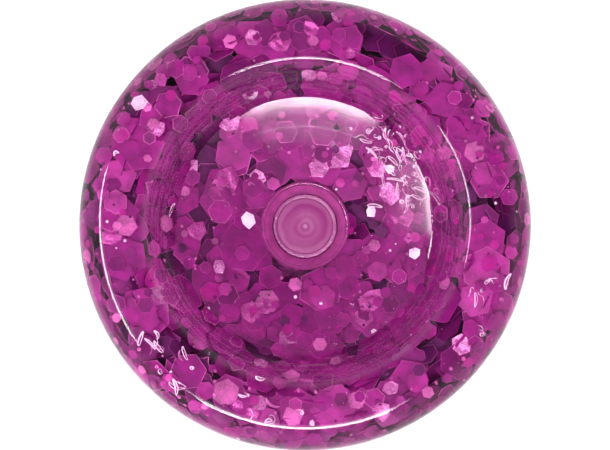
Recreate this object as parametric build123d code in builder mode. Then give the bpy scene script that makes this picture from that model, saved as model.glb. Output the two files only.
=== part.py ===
"""Juggling club: a clear, glitter-filled body on a wooden dowel, with a wrapped handle and a rubber knob.

Millimetres. The club's axis is Z. The knob's flat foot is at Z 0 and the crown's flat ring at the top.
Almost every piece is round: it is a half profile in the XZ plane, revolved about Z.
"""
import os
from math import sqrt

from build123d import *

os.makedirs("parts", exist_ok=True)

# ---- driving dimensions ----
club_length = 520.0

# body outline: a concave neck arc, a convex belly arc, a flatter arc above it and a rounded shoulder
belly_radius = 45.0
belly_height = 430.0
belly_arc = 620.0
upper_arc = 2000.0
shoulder_round = 5.6
neck_radius = 13.0
neck_height = 205.0

# body layers, from the outside inwards
shell_wall = 1.0
gel_layer = 1.2
liner_wall = 0.7

# crown cap: a ring and a bowl, a shoulder, and a spigot that fits inside the shell
ring_inner = 31.2
ring_edge_round = 2.4
recess_foot = 25.7
recess_depth = 5.6
bowl_depth = 10.4
bowl_sphere = 92.0
bowl_margin = 1.2
cap_wall = 1.6
under_foot_shift = 0.7
cap_skirt = 17.0
parting_chamfer = 0.4
spigot_length = 7.0
spigot_ramp = 2.0
seal_height = 1.8
seal_width = 0.7
boss_radius = 6.9
boss_wall_radius = 9.2
boss_fade = 1.1
counterbore_radius = 5.4
collar_radius = 8.0
collar_depth = 2.8
collar_edge_round = 0.5

# crown hub, which backs the cap and centres the body on the dowel
crown_gel = 5.0
hub_wall = 2.0
hub_bowl_radius = 26.0
hub_step_inner = 31.0
hub_step_outer = 35.2
hub_step_drop = 8.4
hub_spigot = 8.0
hub_tube_radius = 10.4
hub_tube_length = 19.0
rib_count = 6
rib_wall = 1.6
rib_foot = 484.0

# dowel, screws and washers
dowel_radius = 6.5
dowel_top = 499.5
dowel_foot = 12.0
dowel_chamfer = 0.5
pilot_spare = 2.0
screw_radius = 2.0
screw_length = 26.0
screw_tip = 1.2
head_radius = 3.8
head_height = 2.4
head_round = 1.6
slot_width = 1.1
slot_depth = 1.2
washer_radius = 4.8
washer_wall = 0.9
screw_clearance = 0.2
bore_floor = 502.0

# plug that covers the crown screw
button_radius = 5.3
button_top = 508.6
button_edge_drop = 0.5
button_edge_round = 0.3
button_middle_drop = 0.1
button_wall = 0.8
button_plate = 2.0
button_foot = 503.2
gate_dimple_radius = 2.4
gate_dimple_depth = 0.3
gate_nub_radius = 0.5
gate_nub_height = 0.25

# knob and handle
knob_radius = 23.0
knob_belly = 15.0
knob_top = 42.0
foot_radius = 17.0
foot_recess_radius = 6.0
foot_recess_depth = 7.0
foot_recess_round = 0.8
knob_top_radius = 12.4
grip_radius = 10.4
grip_height = 74.0
grip_foot_radius = 11.2
wrap_wall = 0.8
band_wall = 0.5
lower_band_width = 12.0
upper_band_below = 9.0
upper_band_above = 9.0
bush_length = 17.0
neck_seal_length = 4.0

# ---- worked out from them ----
liner_outer = shell_wall + gel_layer
liner_inner = liner_outer + liner_wall
flare = belly_radius - neck_radius
rise = belly_height - neck_height
neck_arc = (flare**2 + rise**2) / (2 * flare) - belly_arc
arc_joint_sine = rise / (neck_arc + belly_arc)
cap_foot = club_length - cap_skirt
liner_top = cap_foot - spigot_length
round_share = shoulder_round / upper_arc
shoulder_foot = (club_length - shoulder_round - round_share * belly_height) / (1 - round_share)
bowl_floor = club_length - bowl_depth
foot_arc = ((grip_height - knob_top) ** 2 + (grip_foot_radius - grip_radius) ** 2) / (
    2 * (grip_foot_radius - grip_radius)
)
grip_arc = ((neck_height - grip_height) ** 2 + (neck_radius - grip_radius) ** 2) / (
    2 * (neck_radius - grip_radius)
)


def side_radius(height, inset=0.0):
    """The body outline's radius at a height, moved inwards by inset."""
    joint = neck_height + (neck_arc + inset) * arc_joint_sine
    if height < joint:
        reach = sqrt((neck_arc + inset) ** 2 - (height - neck_height) ** 2)
        return neck_radius + neck_arc - reach
    arc = belly_arc if height < belly_height else upper_arc
    return belly_radius - arc + sqrt((arc - inset) ** 2 - (height - belly_height) ** 2)


def handle_radius(height, inset=0.0):
    """The handle outline's radius at a height: two concave arcs that meet at its thinnest place."""
    arc = foot_arc if height < grip_height else grip_arc
    return grip_radius + arc - sqrt((arc + inset) ** 2 - (height - grip_height) ** 2)


def outline(radius_at, low, high, joints, inset, swell):
    """Draws an outline, moved outwards by swell, from low to high, as one arc between each two joints."""
    stops = [low, *[joint for joint in joints if low < joint < high], high]
    for start, end in zip(stops, stops[1:]):
        middle = (start + end) / 2
        ThreePointArc(*[(radius_at(height, inset) + swell, height) for height in (start, middle, end)])


def side_line(low, high, inset=0.0, swell=0.0):
    joints = (neck_height + (neck_arc + inset) * arc_joint_sine, belly_height)
    outline(side_radius, low, high, joints, inset, swell)


def handle_line(low, high, inset=0.0, swell=0.0):
    outline(handle_radius, low, high, (grip_height,), inset, swell)


def side_point(height, inset=0.0):
    return (side_radius(height, inset), height)


def handle_point(height, inset=0.0):
    return (handle_radius(height, inset), height)


def bowl_point(radius, drop=0.0):
    """A point on the crown's bowl, which is part of a sphere, or on the same sphere grown by drop."""
    sphere = bowl_sphere + drop
    return (radius, bowl_floor + bowl_sphere - sqrt(sphere**2 - radius**2))


def bowl_line(inner, outer, drop=0.0):
    middle = (inner + outer) / 2
    ThreePointArc(bowl_point(inner, drop), bowl_point(middle, drop), bowl_point(outer, drop))


def layer(low, high, outer, inner):
    """A round layer that follows the body outline between two insets."""
    with BuildPart() as piece:
        with BuildSketch(Plane.XZ):
            with BuildLine():
                side_line(low, high, outer)
                side_line(low, high, inner)
                Line(side_point(low, outer), side_point(low, inner))
                Line(side_point(high, outer), side_point(high, inner))
            make_face()
        revolve(axis=Axis.Z)
    return piece


def ring(low, high, outer, inner):
    """A plain ring between two heights and two radii."""
    with BuildPart() as piece:
        with BuildSketch(Plane.XY.offset(low)):
            Circle(outer)
            Circle(inner, mode=Mode.SUBTRACT)
        extrude(amount=high - low)
    return piece


def screw(seat):
    """A slotted round-head wood screw: the head stands on the seat and the shank goes back from it."""
    with BuildPart(seat) as piece:
        with BuildSketch(seat):
            Circle(head_radius)
        extrude(amount=head_height)
        fillet(piece.faces().sort_by(Axis(seat.origin, seat.z_dir))[-1].edges(), radius=head_round)
        with BuildSketch(seat.offset(head_height)):
            Rectangle(2 * head_radius, slot_width)
        extrude(amount=-slot_depth, mode=Mode.SUBTRACT)
        with BuildSketch(seat):
            Circle(screw_radius)
        extrude(amount=-screw_length)
        chamfer(piece.faces().sort_by(Axis(seat.origin, seat.z_dir))[0].edges(), length=screw_tip)
    return piece


def finish(piece, name):
    """Labels a piece and writes it as one STEP file."""
    piece.part.label = name
    export_step(piece.part, f"parts/{name}.step")


# ---- body: outer shell, glitter layer, liner and the ring that closes the layer at the neck ----
parting_low = cap_foot - parting_chamfer
parting_high = cap_foot + parting_chamfer
with BuildPart() as body_shell:
    with BuildSketch(Plane.XZ):
        with BuildLine():
            side_line(neck_height, parting_low)
            Polyline(
                side_point(parting_low),
                side_point(cap_foot, parting_chamfer),
                side_point(cap_foot, shell_wall),
            )
            side_line(neck_height, cap_foot, shell_wall)
            Line(side_point(neck_height, shell_wall), side_point(neck_height))
        make_face()
    revolve(axis=Axis.Z)
finish(body_shell, "body_shell")

neck_seal_top = neck_height + neck_seal_length
finish(layer(neck_height, neck_seal_top, shell_wall, liner_outer), "neck_seal")
finish(layer(neck_seal_top, liner_top, shell_wall, liner_outer), "body_glitter")
finish(layer(neck_height, liner_top, liner_outer, liner_inner), "body_liner")

# ---- crown cap: spigot, shoulder, flat ring, sloping recess wall, shallow bowl and a boss for the screw ----
shoulder_sine = (shoulder_foot - belly_height) / upper_arc
shoulder_centre = (
    side_radius(shoulder_foot) - shoulder_round * sqrt(1 - shoulder_sine**2),
    club_length - shoulder_round,
)
recess_slope = sqrt((ring_inner - recess_foot) ** 2 + recess_depth**2)
recess_run, recess_rise = (ring_inner - recess_foot) / recess_slope, recess_depth / recess_slope
# the recess wall's underside: its foot is set in a little, which keeps the wall's thickness at the bend
recess_under = (ring_inner + cap_wall * (1 - recess_run) / recess_rise, club_length - cap_wall)
recess_under_foot = bowl_point(recess_foot - under_foot_shift, cap_wall)
boss_shoulder = (boss_radius, bowl_point(collar_radius)[1] - collar_depth - boss_fade)


def shoulder_height(inset):
    """The height where the side, moved inwards by inset, runs into the rounded shoulder."""
    return shoulder_foot - inset * shoulder_sine


def shoulder_line(inset=0.0):
    """The rounded shoulder, moved inwards by inset, from the side to the crown's flat ring."""
    reach = shoulder_round - inset
    side = (side_radius(shoulder_height(inset), inset), shoulder_height(inset))
    middle = (shoulder_centre[0] + reach * sqrt(0.5), shoulder_centre[1] + reach * sqrt(0.5))
    ThreePointArc(side, middle, (shoulder_centre[0], shoulder_centre[1] + reach))


def cap_underside():
    """The line that the cap and the crown's glitter share, from the boss out to the spigot."""
    Line(boss_shoulder, bowl_point(boss_wall_radius, cap_wall))
    bowl_line(boss_wall_radius, recess_under_foot[0], cap_wall)
    Polyline(recess_under_foot, recess_under, (shoulder_centre[0], club_length - cap_wall))
    shoulder_line(cap_wall)
    side_line(cap_foot + spigot_ramp, shoulder_height(cap_wall), cap_wall)
    Line(side_point(cap_foot + spigot_ramp, cap_wall), side_point(cap_foot, liner_outer))


seal_low = (liner_top + cap_foot - seal_height) / 2
crown_seal = layer(seal_low, seal_low + seal_height, shell_wall, shell_wall + seal_width)
finish(crown_seal, "crown_seal")

with BuildPart() as crown_cap:
    with BuildSketch(Plane.XZ):
        with BuildLine():
            cap_underside()
            side_line(liner_top, cap_foot, liner_outer)
            Line(side_point(liner_top, liner_outer), side_point(liner_top, shell_wall))
            side_line(liner_top, cap_foot, shell_wall)
            Polyline(
                side_point(cap_foot, shell_wall),
                side_point(cap_foot, parting_chamfer),
                side_point(parting_high),
            )
            side_line(parting_high, shoulder_foot)
            shoulder_line()
            Polyline(
                (shoulder_centre[0], club_length),
                (ring_inner, club_length),
                (recess_foot, club_length - recess_depth),
                bowl_point(recess_foot - bowl_margin),
            )
            bowl_line(collar_radius, recess_foot - bowl_margin)
            Polyline(
                bowl_point(collar_radius),
                (counterbore_radius, bowl_point(collar_radius)[1] - collar_depth),
                (counterbore_radius, bore_floor),
                (screw_radius + screw_clearance, bore_floor),
                (screw_radius + screw_clearance, dowel_top),
                (boss_radius, dowel_top),
                boss_shoulder,
            )
        make_face()
    revolve(axis=Axis.Z)
    ring_edges = crown_cap.edges().filter_by(GeomType.CIRCLE).group_by(Axis.Z)[-1]
    fillet(ring_edges.sort_by(SortBy.RADIUS)[0], radius=ring_edge_round)
    circles = crown_cap.edges().filter_by(GeomType.CIRCLE)
    fillet(circles.sort_by(lambda edge: abs(edge.radius - collar_radius))[0], radius=collar_edge_round)
    add(crown_seal.part, mode=Mode.SUBTRACT)
finish(crown_cap, "crown_cap")

# ---- crown hub: a dished disc under the cap, with a socket for the boss and a tube for the dowel ----
hub_edge = side_point(cap_foot, liner_outer)
hub_inset = cap_wall + crown_gel
hub_step_top = club_length - hub_step_drop
hub_foot = liner_top - hub_spigot


def hub_top():
    """The line that the hub and the crown's glitter share, from the boss out to the hub's edge."""
    bowl_line(boss_radius, hub_bowl_radius, hub_inset)
    Polyline(
        bowl_point(hub_bowl_radius, hub_inset),
        (hub_step_inner, hub_step_top),
        (hub_step_outer, hub_step_top),
        hub_edge,
    )


with BuildPart() as crown_hub:
    with BuildSketch(Plane.XZ):
        with BuildLine():
            hub_top()
            side_line(liner_top, cap_foot, liner_outer)
            Line(side_point(liner_top, liner_outer), side_point(liner_top, liner_inner))
            side_line(hub_foot, liner_top, liner_inner)
            Polyline(
                side_point(hub_foot, liner_inner),
                side_point(hub_foot, liner_inner + hub_wall),
                side_point(cap_foot - hub_wall, liner_inner + hub_wall),
                (hub_step_outer - hub_wall, hub_step_top - hub_wall),
                (hub_step_inner + hub_wall / 2, hub_step_top - hub_wall),
                bowl_point(hub_bowl_radius + hub_wall / 2, hub_inset + hub_wall),
            )
            bowl_line(hub_tube_radius, hub_bowl_radius + hub_wall / 2, hub_inset + hub_wall)
            Polyline(
                bowl_point(hub_tube_radius, hub_inset + hub_wall),
                (hub_tube_radius, dowel_top - hub_tube_length),
                (dowel_radius, dowel_top - hub_tube_length),
                (dowel_radius, dowel_top),
                (boss_radius, dowel_top),
                bowl_point(boss_radius, hub_inset),
            )
        make_face()
    revolve(axis=Axis.Z)
    for number in range(rib_count):
        with BuildSketch(Plane.XZ.rotated((0, 0, 360 * number / rib_count))):
            with BuildLine():
                rib_depth = hub_inset + hub_wall / 2
                rib_root = hub_tube_radius - hub_wall / 4
                rib_tip = bowl_point(hub_bowl_radius, rib_depth)
                Polyline((rib_root, rib_foot), rib_tip, bowl_point(rib_root, rib_depth), close=True)
            make_face()
        extrude(amount=rib_wall / 2, both=True)
finish(crown_hub, "crown_hub")

with BuildPart() as crown_glitter:
    with BuildSketch(Plane.XZ):
        with BuildLine():
            hub_top()
            cap_underside()
            Line(boss_shoulder, bowl_point(boss_radius, hub_inset))
        make_face()
    revolve(axis=Axis.Z)
finish(crown_glitter, "crown_glitter")

# ---- crown fixing: washer, screw and the plug that hides them ----
crown_seat = bore_floor + washer_wall
finish(ring(bore_floor, crown_seat, washer_radius, screw_radius + screw_clearance), "crown_washer")
finish(screw(Plane.XY.offset(crown_seat)), "crown_screw")

with BuildPart() as crown_button:
    with BuildSketch(Plane.XZ):
        with BuildLine():
            dimple_floor = button_top - gate_dimple_depth
            round_radius = button_radius - button_edge_round
            round_height = button_top - button_edge_drop - button_edge_round
            reach = button_edge_round * sqrt(0.5)
            edge_top = (round_radius, round_height + button_edge_round)
            edge_side = (button_radius, round_height)
            Polyline(
                (0, dimple_floor + gate_nub_height),
                (gate_nub_radius, dimple_floor + gate_nub_height),
                (gate_nub_radius, dimple_floor),
                (gate_dimple_radius, button_top),
            )
            middle_radius = (gate_dimple_radius + button_radius) / 2
            ThreePointArc(
                (gate_dimple_radius, button_top),
                (middle_radius, button_top - button_middle_drop),
                edge_top,
            )
            ThreePointArc(edge_top, (round_radius + reach, round_height + reach), edge_side)
            Polyline(
                edge_side,
                (button_radius, button_foot),
                (button_radius - button_wall, button_foot),
                (button_radius - button_wall, button_top - button_plate),
                (0, button_top - button_plate),
                (0, dimple_floor + gate_nub_height),
            )
        make_face()
    revolve(axis=Axis.Z)
finish(crown_button, "crown_button")

# ---- dowel, with a pilot hole for a screw in each end, and the bush that centres the neck on it ----
knob_seat = foot_recess_depth - washer_wall
crown_pilot = dowel_top - (crown_seat - screw_length) + pilot_spare
knob_pilot = knob_seat + screw_length - dowel_foot + pilot_spare
with BuildPart() as dowel:
    with BuildSketch(Plane.XY.offset(dowel_foot)):
        Circle(dowel_radius)
    extrude(amount=dowel_top - dowel_foot)
    chamfer(dowel.edges().filter_by(GeomType.CIRCLE), length=dowel_chamfer)
    for height, depth in ((dowel_top, -crown_pilot), (dowel_foot, knob_pilot)):
        with BuildSketch(Plane.XY.offset(height)):
            Circle(screw_radius)
        extrude(amount=depth, mode=Mode.SUBTRACT)
finish(dowel, "dowel")


def sleeve(outline_line, outline_point, low, high, outer, inner_radius):
    """A sleeve on the dowel whose outside follows an outline."""
    with BuildPart() as piece:
        with BuildSketch(Plane.XZ):
            with BuildLine():
                outline_line(low, high, outer)
                Polyline(
                    outline_point(low, outer),
                    (inner_radius, low),
                    (inner_radius, high),
                    outline_point(high, outer),
                )
            make_face()
        revolve(axis=Axis.Z)
    return piece


bush_top = neck_height + bush_length
finish(sleeve(side_line, side_point, neck_height, bush_top, liner_inner, dowel_radius), "neck_bush")

# ---- handle: foam sleeve, wrap and two tape bands ----
finish(sleeve(handle_line, handle_point, knob_top, neck_height, wrap_wall, dowel_radius), "handle_foam")

with BuildPart() as handle_wrap:
    with BuildSketch(Plane.XZ):
        with BuildLine():
            handle_line(knob_top, neck_height)
            handle_line(knob_top, neck_height, wrap_wall)
            Line(handle_point(knob_top), handle_point(knob_top, wrap_wall))
            Line(handle_point(neck_height), handle_point(neck_height, wrap_wall))
        make_face()
    revolve(axis=Axis.Z)
finish(handle_wrap, "handle_wrap")

with BuildPart() as grip_band_lower:
    with BuildSketch(Plane.XZ):
        with BuildLine():
            band_top = knob_top + lower_band_width
            for swell in (0, band_wall):
                handle_line(knob_top, band_top, swell=swell)
            for height in (knob_top, band_top):
                Line(handle_point(height), (handle_radius(height) + band_wall, height))
        make_face()
    revolve(axis=Axis.Z)
finish(grip_band_lower, "grip_band_lower")

with BuildPart() as grip_band_upper:
    with BuildSketch(Plane.XZ):
        with BuildLine():
            band_low = neck_height - upper_band_below
            band_high = neck_height + upper_band_above
            for swell in (0, band_wall):
                handle_line(band_low, neck_height, swell=swell)
                side_line(neck_height, band_high, swell=swell)
            Line(handle_point(band_low), (handle_radius(band_low) + band_wall, band_low))
            Line(side_point(band_high), (side_radius(band_high) + band_wall, band_high))
        make_face()
    revolve(axis=Axis.Z)
finish(grip_band_upper, "grip_band_upper")

# ---- knob: a rubber ball that flows into a neck, with a recess in its foot for the washer and screw ----
ball_centre = (knob_radius**2 - foot_radius**2 - knob_belly**2) / (2 * (knob_radius - foot_radius))
ball_radius = knob_radius - ball_centre
neck_rise = knob_top - knob_belly
neck_run = knob_top_radius - ball_centre
neck_round = (neck_run**2 + neck_rise**2 - ball_radius**2) / (2 * (ball_radius - neck_run))
neck_centre = (knob_top_radius + neck_round, knob_top)
share = ball_radius / (ball_radius + neck_round)
flow_point = (ball_centre + share * (neck_centre[0] - ball_centre), knob_belly + share * neck_rise)
neck_middle_rise = (knob_top - flow_point[1]) / 2
neck_middle = (
    neck_centre[0] - sqrt(neck_round**2 - neck_middle_rise**2),
    knob_top - neck_middle_rise,
)
with BuildPart() as knob:
    with BuildSketch(Plane.XZ):
        with BuildLine():
            ThreePointArc((foot_radius, 0), (knob_radius, knob_belly), flow_point)
            ThreePointArc(flow_point, neck_middle, (knob_top_radius, knob_top))
            Polyline(
                (knob_top_radius, knob_top),
                (dowel_radius, knob_top),
                (dowel_radius, dowel_foot),
                (screw_radius + screw_clearance, dowel_foot),
                (screw_radius + screw_clearance, foot_recess_depth),
                (foot_recess_radius, foot_recess_depth),
                (foot_recess_radius, 0),
                (foot_radius, 0),
            )
        make_face()
    revolve(axis=Axis.Z)
    recess_mouth = knob.edges().filter_by(GeomType.CIRCLE).group_by(Axis.Z)[0].sort_by(SortBy.RADIUS)[0]
    fillet(recess_mouth, radius=foot_recess_round)
finish(knob, "knob")

finish(ring(knob_seat, foot_recess_depth, washer_radius, screw_radius + screw_clearance), "knob_washer")
finish(screw(Plane((0, 0, knob_seat), z_dir=(0, 0, -1))), "knob_screw")
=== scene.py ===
"""A glitter-filled juggling club, seen end-on at its crown, on a pale studio floor.

Metres. The CAD nodes give every place: round pieces are lathed from outlines read from their meshes.
"""
from itertools import product
from math import atan2, ceil, copysign, cos, degrees, dist, hypot, pi, radians, sin, sqrt, tau

import bmesh
import bpy
import numpy as np
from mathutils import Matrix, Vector, noise
from mathutils.bvhtree import BVHTree
from numpy.random import default_rng


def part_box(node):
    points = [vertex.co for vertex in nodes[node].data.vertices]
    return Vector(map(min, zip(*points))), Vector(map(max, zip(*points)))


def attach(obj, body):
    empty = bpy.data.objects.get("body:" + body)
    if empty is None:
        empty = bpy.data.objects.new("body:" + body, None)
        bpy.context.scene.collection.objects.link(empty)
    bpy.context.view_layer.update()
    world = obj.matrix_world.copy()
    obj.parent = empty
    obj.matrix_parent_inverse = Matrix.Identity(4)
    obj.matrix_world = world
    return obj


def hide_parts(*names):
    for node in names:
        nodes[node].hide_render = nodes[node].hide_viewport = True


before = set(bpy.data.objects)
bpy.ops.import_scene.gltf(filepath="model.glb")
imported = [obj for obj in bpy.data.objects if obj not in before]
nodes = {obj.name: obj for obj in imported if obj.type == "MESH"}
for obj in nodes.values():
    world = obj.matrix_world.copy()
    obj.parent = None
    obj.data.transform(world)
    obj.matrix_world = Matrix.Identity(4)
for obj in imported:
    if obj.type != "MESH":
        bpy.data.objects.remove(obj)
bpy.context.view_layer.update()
scene = bpy.context.scene

MM = 0.001
CROWN_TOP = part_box("crown_cap")[1].z
OUTLINE_HEIGHT = CROWN_TOP - 8 * MM      # where the crown looks widest from above
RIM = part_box("crown_cap")[1].x           # the crown's largest radius
BUTTON_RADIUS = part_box("crown_button")[1].x
CAMERA_PLACE = (0.012, -0.045, CROWN_TOP + 0.9)
# The camera's picture is turned by this many degrees. Azimuths in the glitter are as it shows them.
VIEW_TURN = degrees(atan2(CAMERA_PLACE[0], -CAMERA_PLACE[1]))
DOWN = Vector((0, 0, -1))


def link(name, data):
    thing = bpy.data.objects.new(name, data)
    scene.collection.objects.link(thing)
    return thing


def polar(radius, angle):
    return radius * cos(angle), radius * sin(angle)


# ---- shader nodes ----
def srgb(*channels):
    """A colour given as 0 to 255 screen values, as the linear values that shaders take."""
    return tuple(((c / 255 + 0.055) / 1.055) ** 2.4 if c > 10 else c / 255 / 12.92 for c in channels)


class Nodes:
    """Short ways to add nodes to a tree."""

    def __init__(self, tree):
        self.tree = tree

    def add(self, kind, **values):
        """A node of a kind, its inputs and settings given by name; a socket as a value links it."""
        node = self.tree.nodes.new(f"ShaderNode{kind}")
        for key, value in values.items():
            if key in node.inputs:
                self.put(node.inputs[key], value)
            else:
                setattr(node, key, value)
        return node

    def put(self, socket, value):
        if isinstance(value, bpy.types.NodeSocket):
            self.tree.links.new(value, socket)
        else:
            socket.default_value = value

    def place(self):
        return self.add("TexCoord").outputs["Object"]

    def split(self):
        return self.add("SeparateXYZ", Vector=self.place()).outputs

    def stretched(self, factor):
        """The place, scaled along the club's axis to draw noise out there or to bunch it up."""
        return self.add("Mapping", **{"Scale": (1, 1, factor), "Vector": self.place()}).outputs[0]

    def noise(self, scale, detail=2.0, at=None, distortion=0.0):
        """Noise from 0 to 1, with features of about 1/scale metres."""
        made = self.add("TexNoise", Scale=scale, Detail=detail, Distortion=distortion)
        self.put(made.inputs["Vector"], at or self.place())
        return made.outputs[0]

    def math(self, operation, *values):
        made = self.add("Math", operation=operation)
        for socket, value in zip(made.inputs, values):
            self.put(socket, value)
        return made.outputs[0]

    def product(self, *values):
        return self.math("MULTIPLY", *values)

    def total(self, *parts):
        """The sum of two (value, weight) parts."""
        return self.math("ADD", *[self.product(*part) for part in parts])

    def rescaled(self, value, low, high):
        """The value as a share of the way from low to high."""
        return self.add("MapRange", **{"Value": value, "From Min": low, "From Max": high}).outputs[0]

    def radius(self):
        """The distance from the club's axis."""
        x, y, _ = self.split()
        return self.math("SQRT", self.math("ADD", self.math("POWER", x, 2), self.math("POWER", y, 2)))

    def turn(self):
        """The angle round the club's axis."""
        x, y, _ = self.split()
        return self.math("ARCTAN2", y, x)

    def ramp(self, value, *stops):
        """Maps a value to colours, given as (position, (red, green, blue)) stops."""
        return self.blend(value, [(position, srgb(*colour)) for position, colour in stops])

    def levels(self, value, *stops):
        """Maps a value to plain numbers from 0 to 1, given as (position, number) stops."""
        return self.blend(value, [(position, (level,) * 3) for position, level in stops])

    def blend(self, value, stops):
        made = self.add("ValToRGB")
        self.put(made.inputs[0], value)
        elements = made.color_ramp.elements
        while len(elements) < len(stops):
            elements.new(0.5)
        for element, (position, colour) in zip(elements, stops):
            element.position = position
            element.color = (*colour, 1)
        return made.outputs[0]


class Shade(Nodes):
    """A new material and its Principled shader."""

    def __init__(self, name, roughness=0.5, metallic=0.0, specular=0.5):
        self.material = bpy.data.materials.new(name)
        self.material.use_nodes = True
        super().__init__(self.material.node_tree)
        self.shader = self.tree.nodes["Principled BSDF"]
        self.feed("Roughness", roughness)
        self.feed("Metallic", metallic)
        self.feed("Specular IOR Level", specular)

    def feed(self, name, value):
        """Sets an input of the material's own shader."""
        self.put(self.shader.inputs[name], value)

    def colour(self, value, *stops):
        """Colours the material by a ramp of a value."""
        self.feed("Base Color", self.ramp(value, *stops))

    def rough(self, value, low, high):
        made = self.add("MapRange", **{"Value": value, "To Min": low, "To Max": high})
        self.feed("Roughness", made.outputs[0])

    def bump(self, height, depth, strength=1.0):
        """Relief of a height socket times depth metres; a second call adds to the first."""
        made = self.add("Bump", Strength=strength, Distance=depth, Height=height)
        already = self.shader.inputs["Normal"].links
        if already:
            self.put(made.inputs["Normal"], already[0].from_socket)
        self.feed("Normal", made.outputs[0])

    def see_through(self, tint):
        return self.add("BsdfTransparent", Color=(*srgb(*tint), 1)).outputs[0]

    def give_way(self, share, other):
        """Mixes the material's own shader with a share of another one."""
        mix = self.add("MixShader")
        for socket, source in zip(mix.inputs, (share, self.shader.outputs[0], other)):
            self.put(socket, source)
        self.end_in(mix.outputs[0])

    def end_in(self, surface):
        self.put(self.tree.nodes["Material Output"].inputs["Surface"], surface)


# ---- camera and lights ----
def aim(thing, place, target):
    """Puts a camera or light at a place, looking at a target, with +Y up."""
    thing.location = place
    thing.rotation_euler = (Vector(target) - Vector(place)).to_track_quat("-Z", "Y").to_euler()


def add_light(name, place, size, power, mirrored=False):
    """A lamp turned to the crown, which lights surfaces without being mirrored, or is only mirrored."""
    data = bpy.data.lights.new(name, "AREA")
    data.shape = "RECTANGLE"
    data.size, data.size_y = size
    data.energy = power
    light = link(name, data)
    aim(light, place, (0, 0, CROWN_TOP))
    light.visible_camera = False
    light.visible_glossy = mirrored
    light.visible_diffuse = not mirrored


def around(azimuth, lean, distance):
    """A place lean degrees off the club's axis, as seen from the crown."""
    height, reach = polar(1, radians(lean))
    return Vector((0, 0, CROWN_TOP)) + distance * Vector((*polar(reach, radians(azimuth)), height))


# The two curved softboxes that the crown mirrors. Each has the azimuth of its middle and half its spread, in
# degrees, its radiance at full level, and its level at a number of degrees off the club's axis.
SOFTBOXES = [
    (282, 38, 26, (
        (15.0, 0), (16.6, 0.04), (18.2, 0.08), (19.2, 0.09), (19.7, 0.20), (20.1, 0.11), (22.2, 0.12),
        (23.0, 0.22), (23.8, 0.34), (24.6, 0.75), (25.3, 1), (27.8, 0.9), (29.0, 0),
    )),
    (204, 22, 20, (
        (18.6, 0), (20.6, 0.05), (22.2, 0.10), (25.4, 0.11), (26.6, 0.18), (27.3, 0.34), (27.9, 0.9),
        (28.8, 1), (29.3, 0.35), (30.4, 0),
    )),
]
SKY_RANGE = 40      # degrees off the axis that the softboxes' levels are scaled by


def add_world():
    """White at the horizon for the club's sides, dim overhead to keep the ring clear, and the softboxes."""
    world = bpy.data.worlds.new("studio")
    world.use_nodes = True
    sky = Nodes(world.node_tree)
    place = sky.add("TexCoord").outputs["Generated"]
    x, y, z = sky.add("SeparateXYZ", Vector=place).outputs
    studio = sky.tree.nodes["Background"]
    sky.put(studio.inputs["Color"], sky.levels(z, (0.45, 1.0), (0.95, 0.06)))
    sky.put(studio.inputs["Strength"], 0.95)
    lean = sky.math("DEGREES", sky.math("ARCCOSINE", z))
    azimuth = sky.math("DEGREES", sky.math("ARCTAN2", y, x))
    streaks = sky.math("MULTIPLY_ADD", sky.noise(14, 3, at=place), 1.4, 0.3)
    shader = studio.outputs[0]
    for middle, spread, radiance, profile in SOFTBOXES:
        aside = sky.math("WRAP", sky.math("SUBTRACT", azimuth, middle), 180, -180)
        aside = sky.math("DIVIDE", sky.math("ABSOLUTE", aside), spread)
        bent = sky.math("SUBTRACT", lean, sky.product(sky.math("POWER", aside, 2), 1.6))
        stops = [(off / SKY_RANGE, level) for off, level in profile]
        across = sky.levels(sky.math("DIVIDE", bent, SKY_RANGE), *stops)
        along = sky.levels(aside, (0.0, 1.0), (0.72, 0.9), (0.94, 0.25), (1.0, 0.0))
        level = sky.product(sky.product(across, along), streaks)
        glow = sky.add("Background", Strength=sky.product(level, radiance))
        both = sky.add("AddShader")
        sky.put(both.inputs[0], shader)
        sky.put(both.inputs[1], glow.outputs[0])
        shader = both.outputs[0]
    sky.put(sky.tree.nodes["World Output"].inputs["Surface"], shader)
    scene.world = world


camera = link("camera", bpy.data.cameras.new("camera"))
camera.data.sensor_width = 36
camera.data.lens = 280
camera.data.clip_end = 50
aim(camera, CAMERA_PLACE, (0, 0, OUTLINE_HEIGHT))
scene.camera = camera
scene.view_settings.view_transform = "Standard"
add_world()
add_light("overhead", (0, 0, 3.2), (3, 3), 37)
# the softboxes' far edges, which draw the lines on the crown's rounded edges
add_light("edge_front", around(282, 31.5, 1.1), (0.66, 0.12), 6.0, mirrored=True)
add_light("edge_left", around(200, 33, 1.1), (0.56, 0.12), 3.8, mirrored=True)
add_light("window_left", around(228, 88, 1.4), (1.3, 0.5), 15)
add_light("window_back", around(52, 88, 1.4), (0.7, 0.4), 12)


# ---- materials ----
CLEAR_INDEX = 1.47
GEL_TINT = (253, 240, 250)
GLUE_ENDS = 8.4 * MM, 8.9 * MM     # the radii between which the boss's glue thins out


def clear_plastic(name, tint, flow=False):
    """Clear plastic, with the round flow lines of moulding on the crown's recess wall if asked."""
    shade = Shade(name, roughness=0.02)
    shade.feed("Base Color", (*srgb(*tint), 1))
    shade.feed("IOR", CLEAR_INDEX)
    shade.feed("Transmission Weight", 1.0)
    if flow:
        share = shade.math("DIVIDE", shade.radius(), RIM)
        lines, turn = shade.product(share, 60), shade.product(shade.turn(), 2.5)
        unrolled = shade.add("CombineXYZ", X=lines, Y=turn).outputs[0]
        wall = shade.levels(share, (0.555, 0.0), (0.58, 1.0), (0.68, 1.0), (0.72, 0.0))
        shade.bump(shade.product(shade.noise(1.0, 3, at=unrolled), wall), 0.18 * MM)
    # lamps shine straight through, without the noise of traced caustics
    shade.give_way(shade.add("LightPath").outputs["Is Shadow Ray"], shade.see_through(tint))
    return shade


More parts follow.
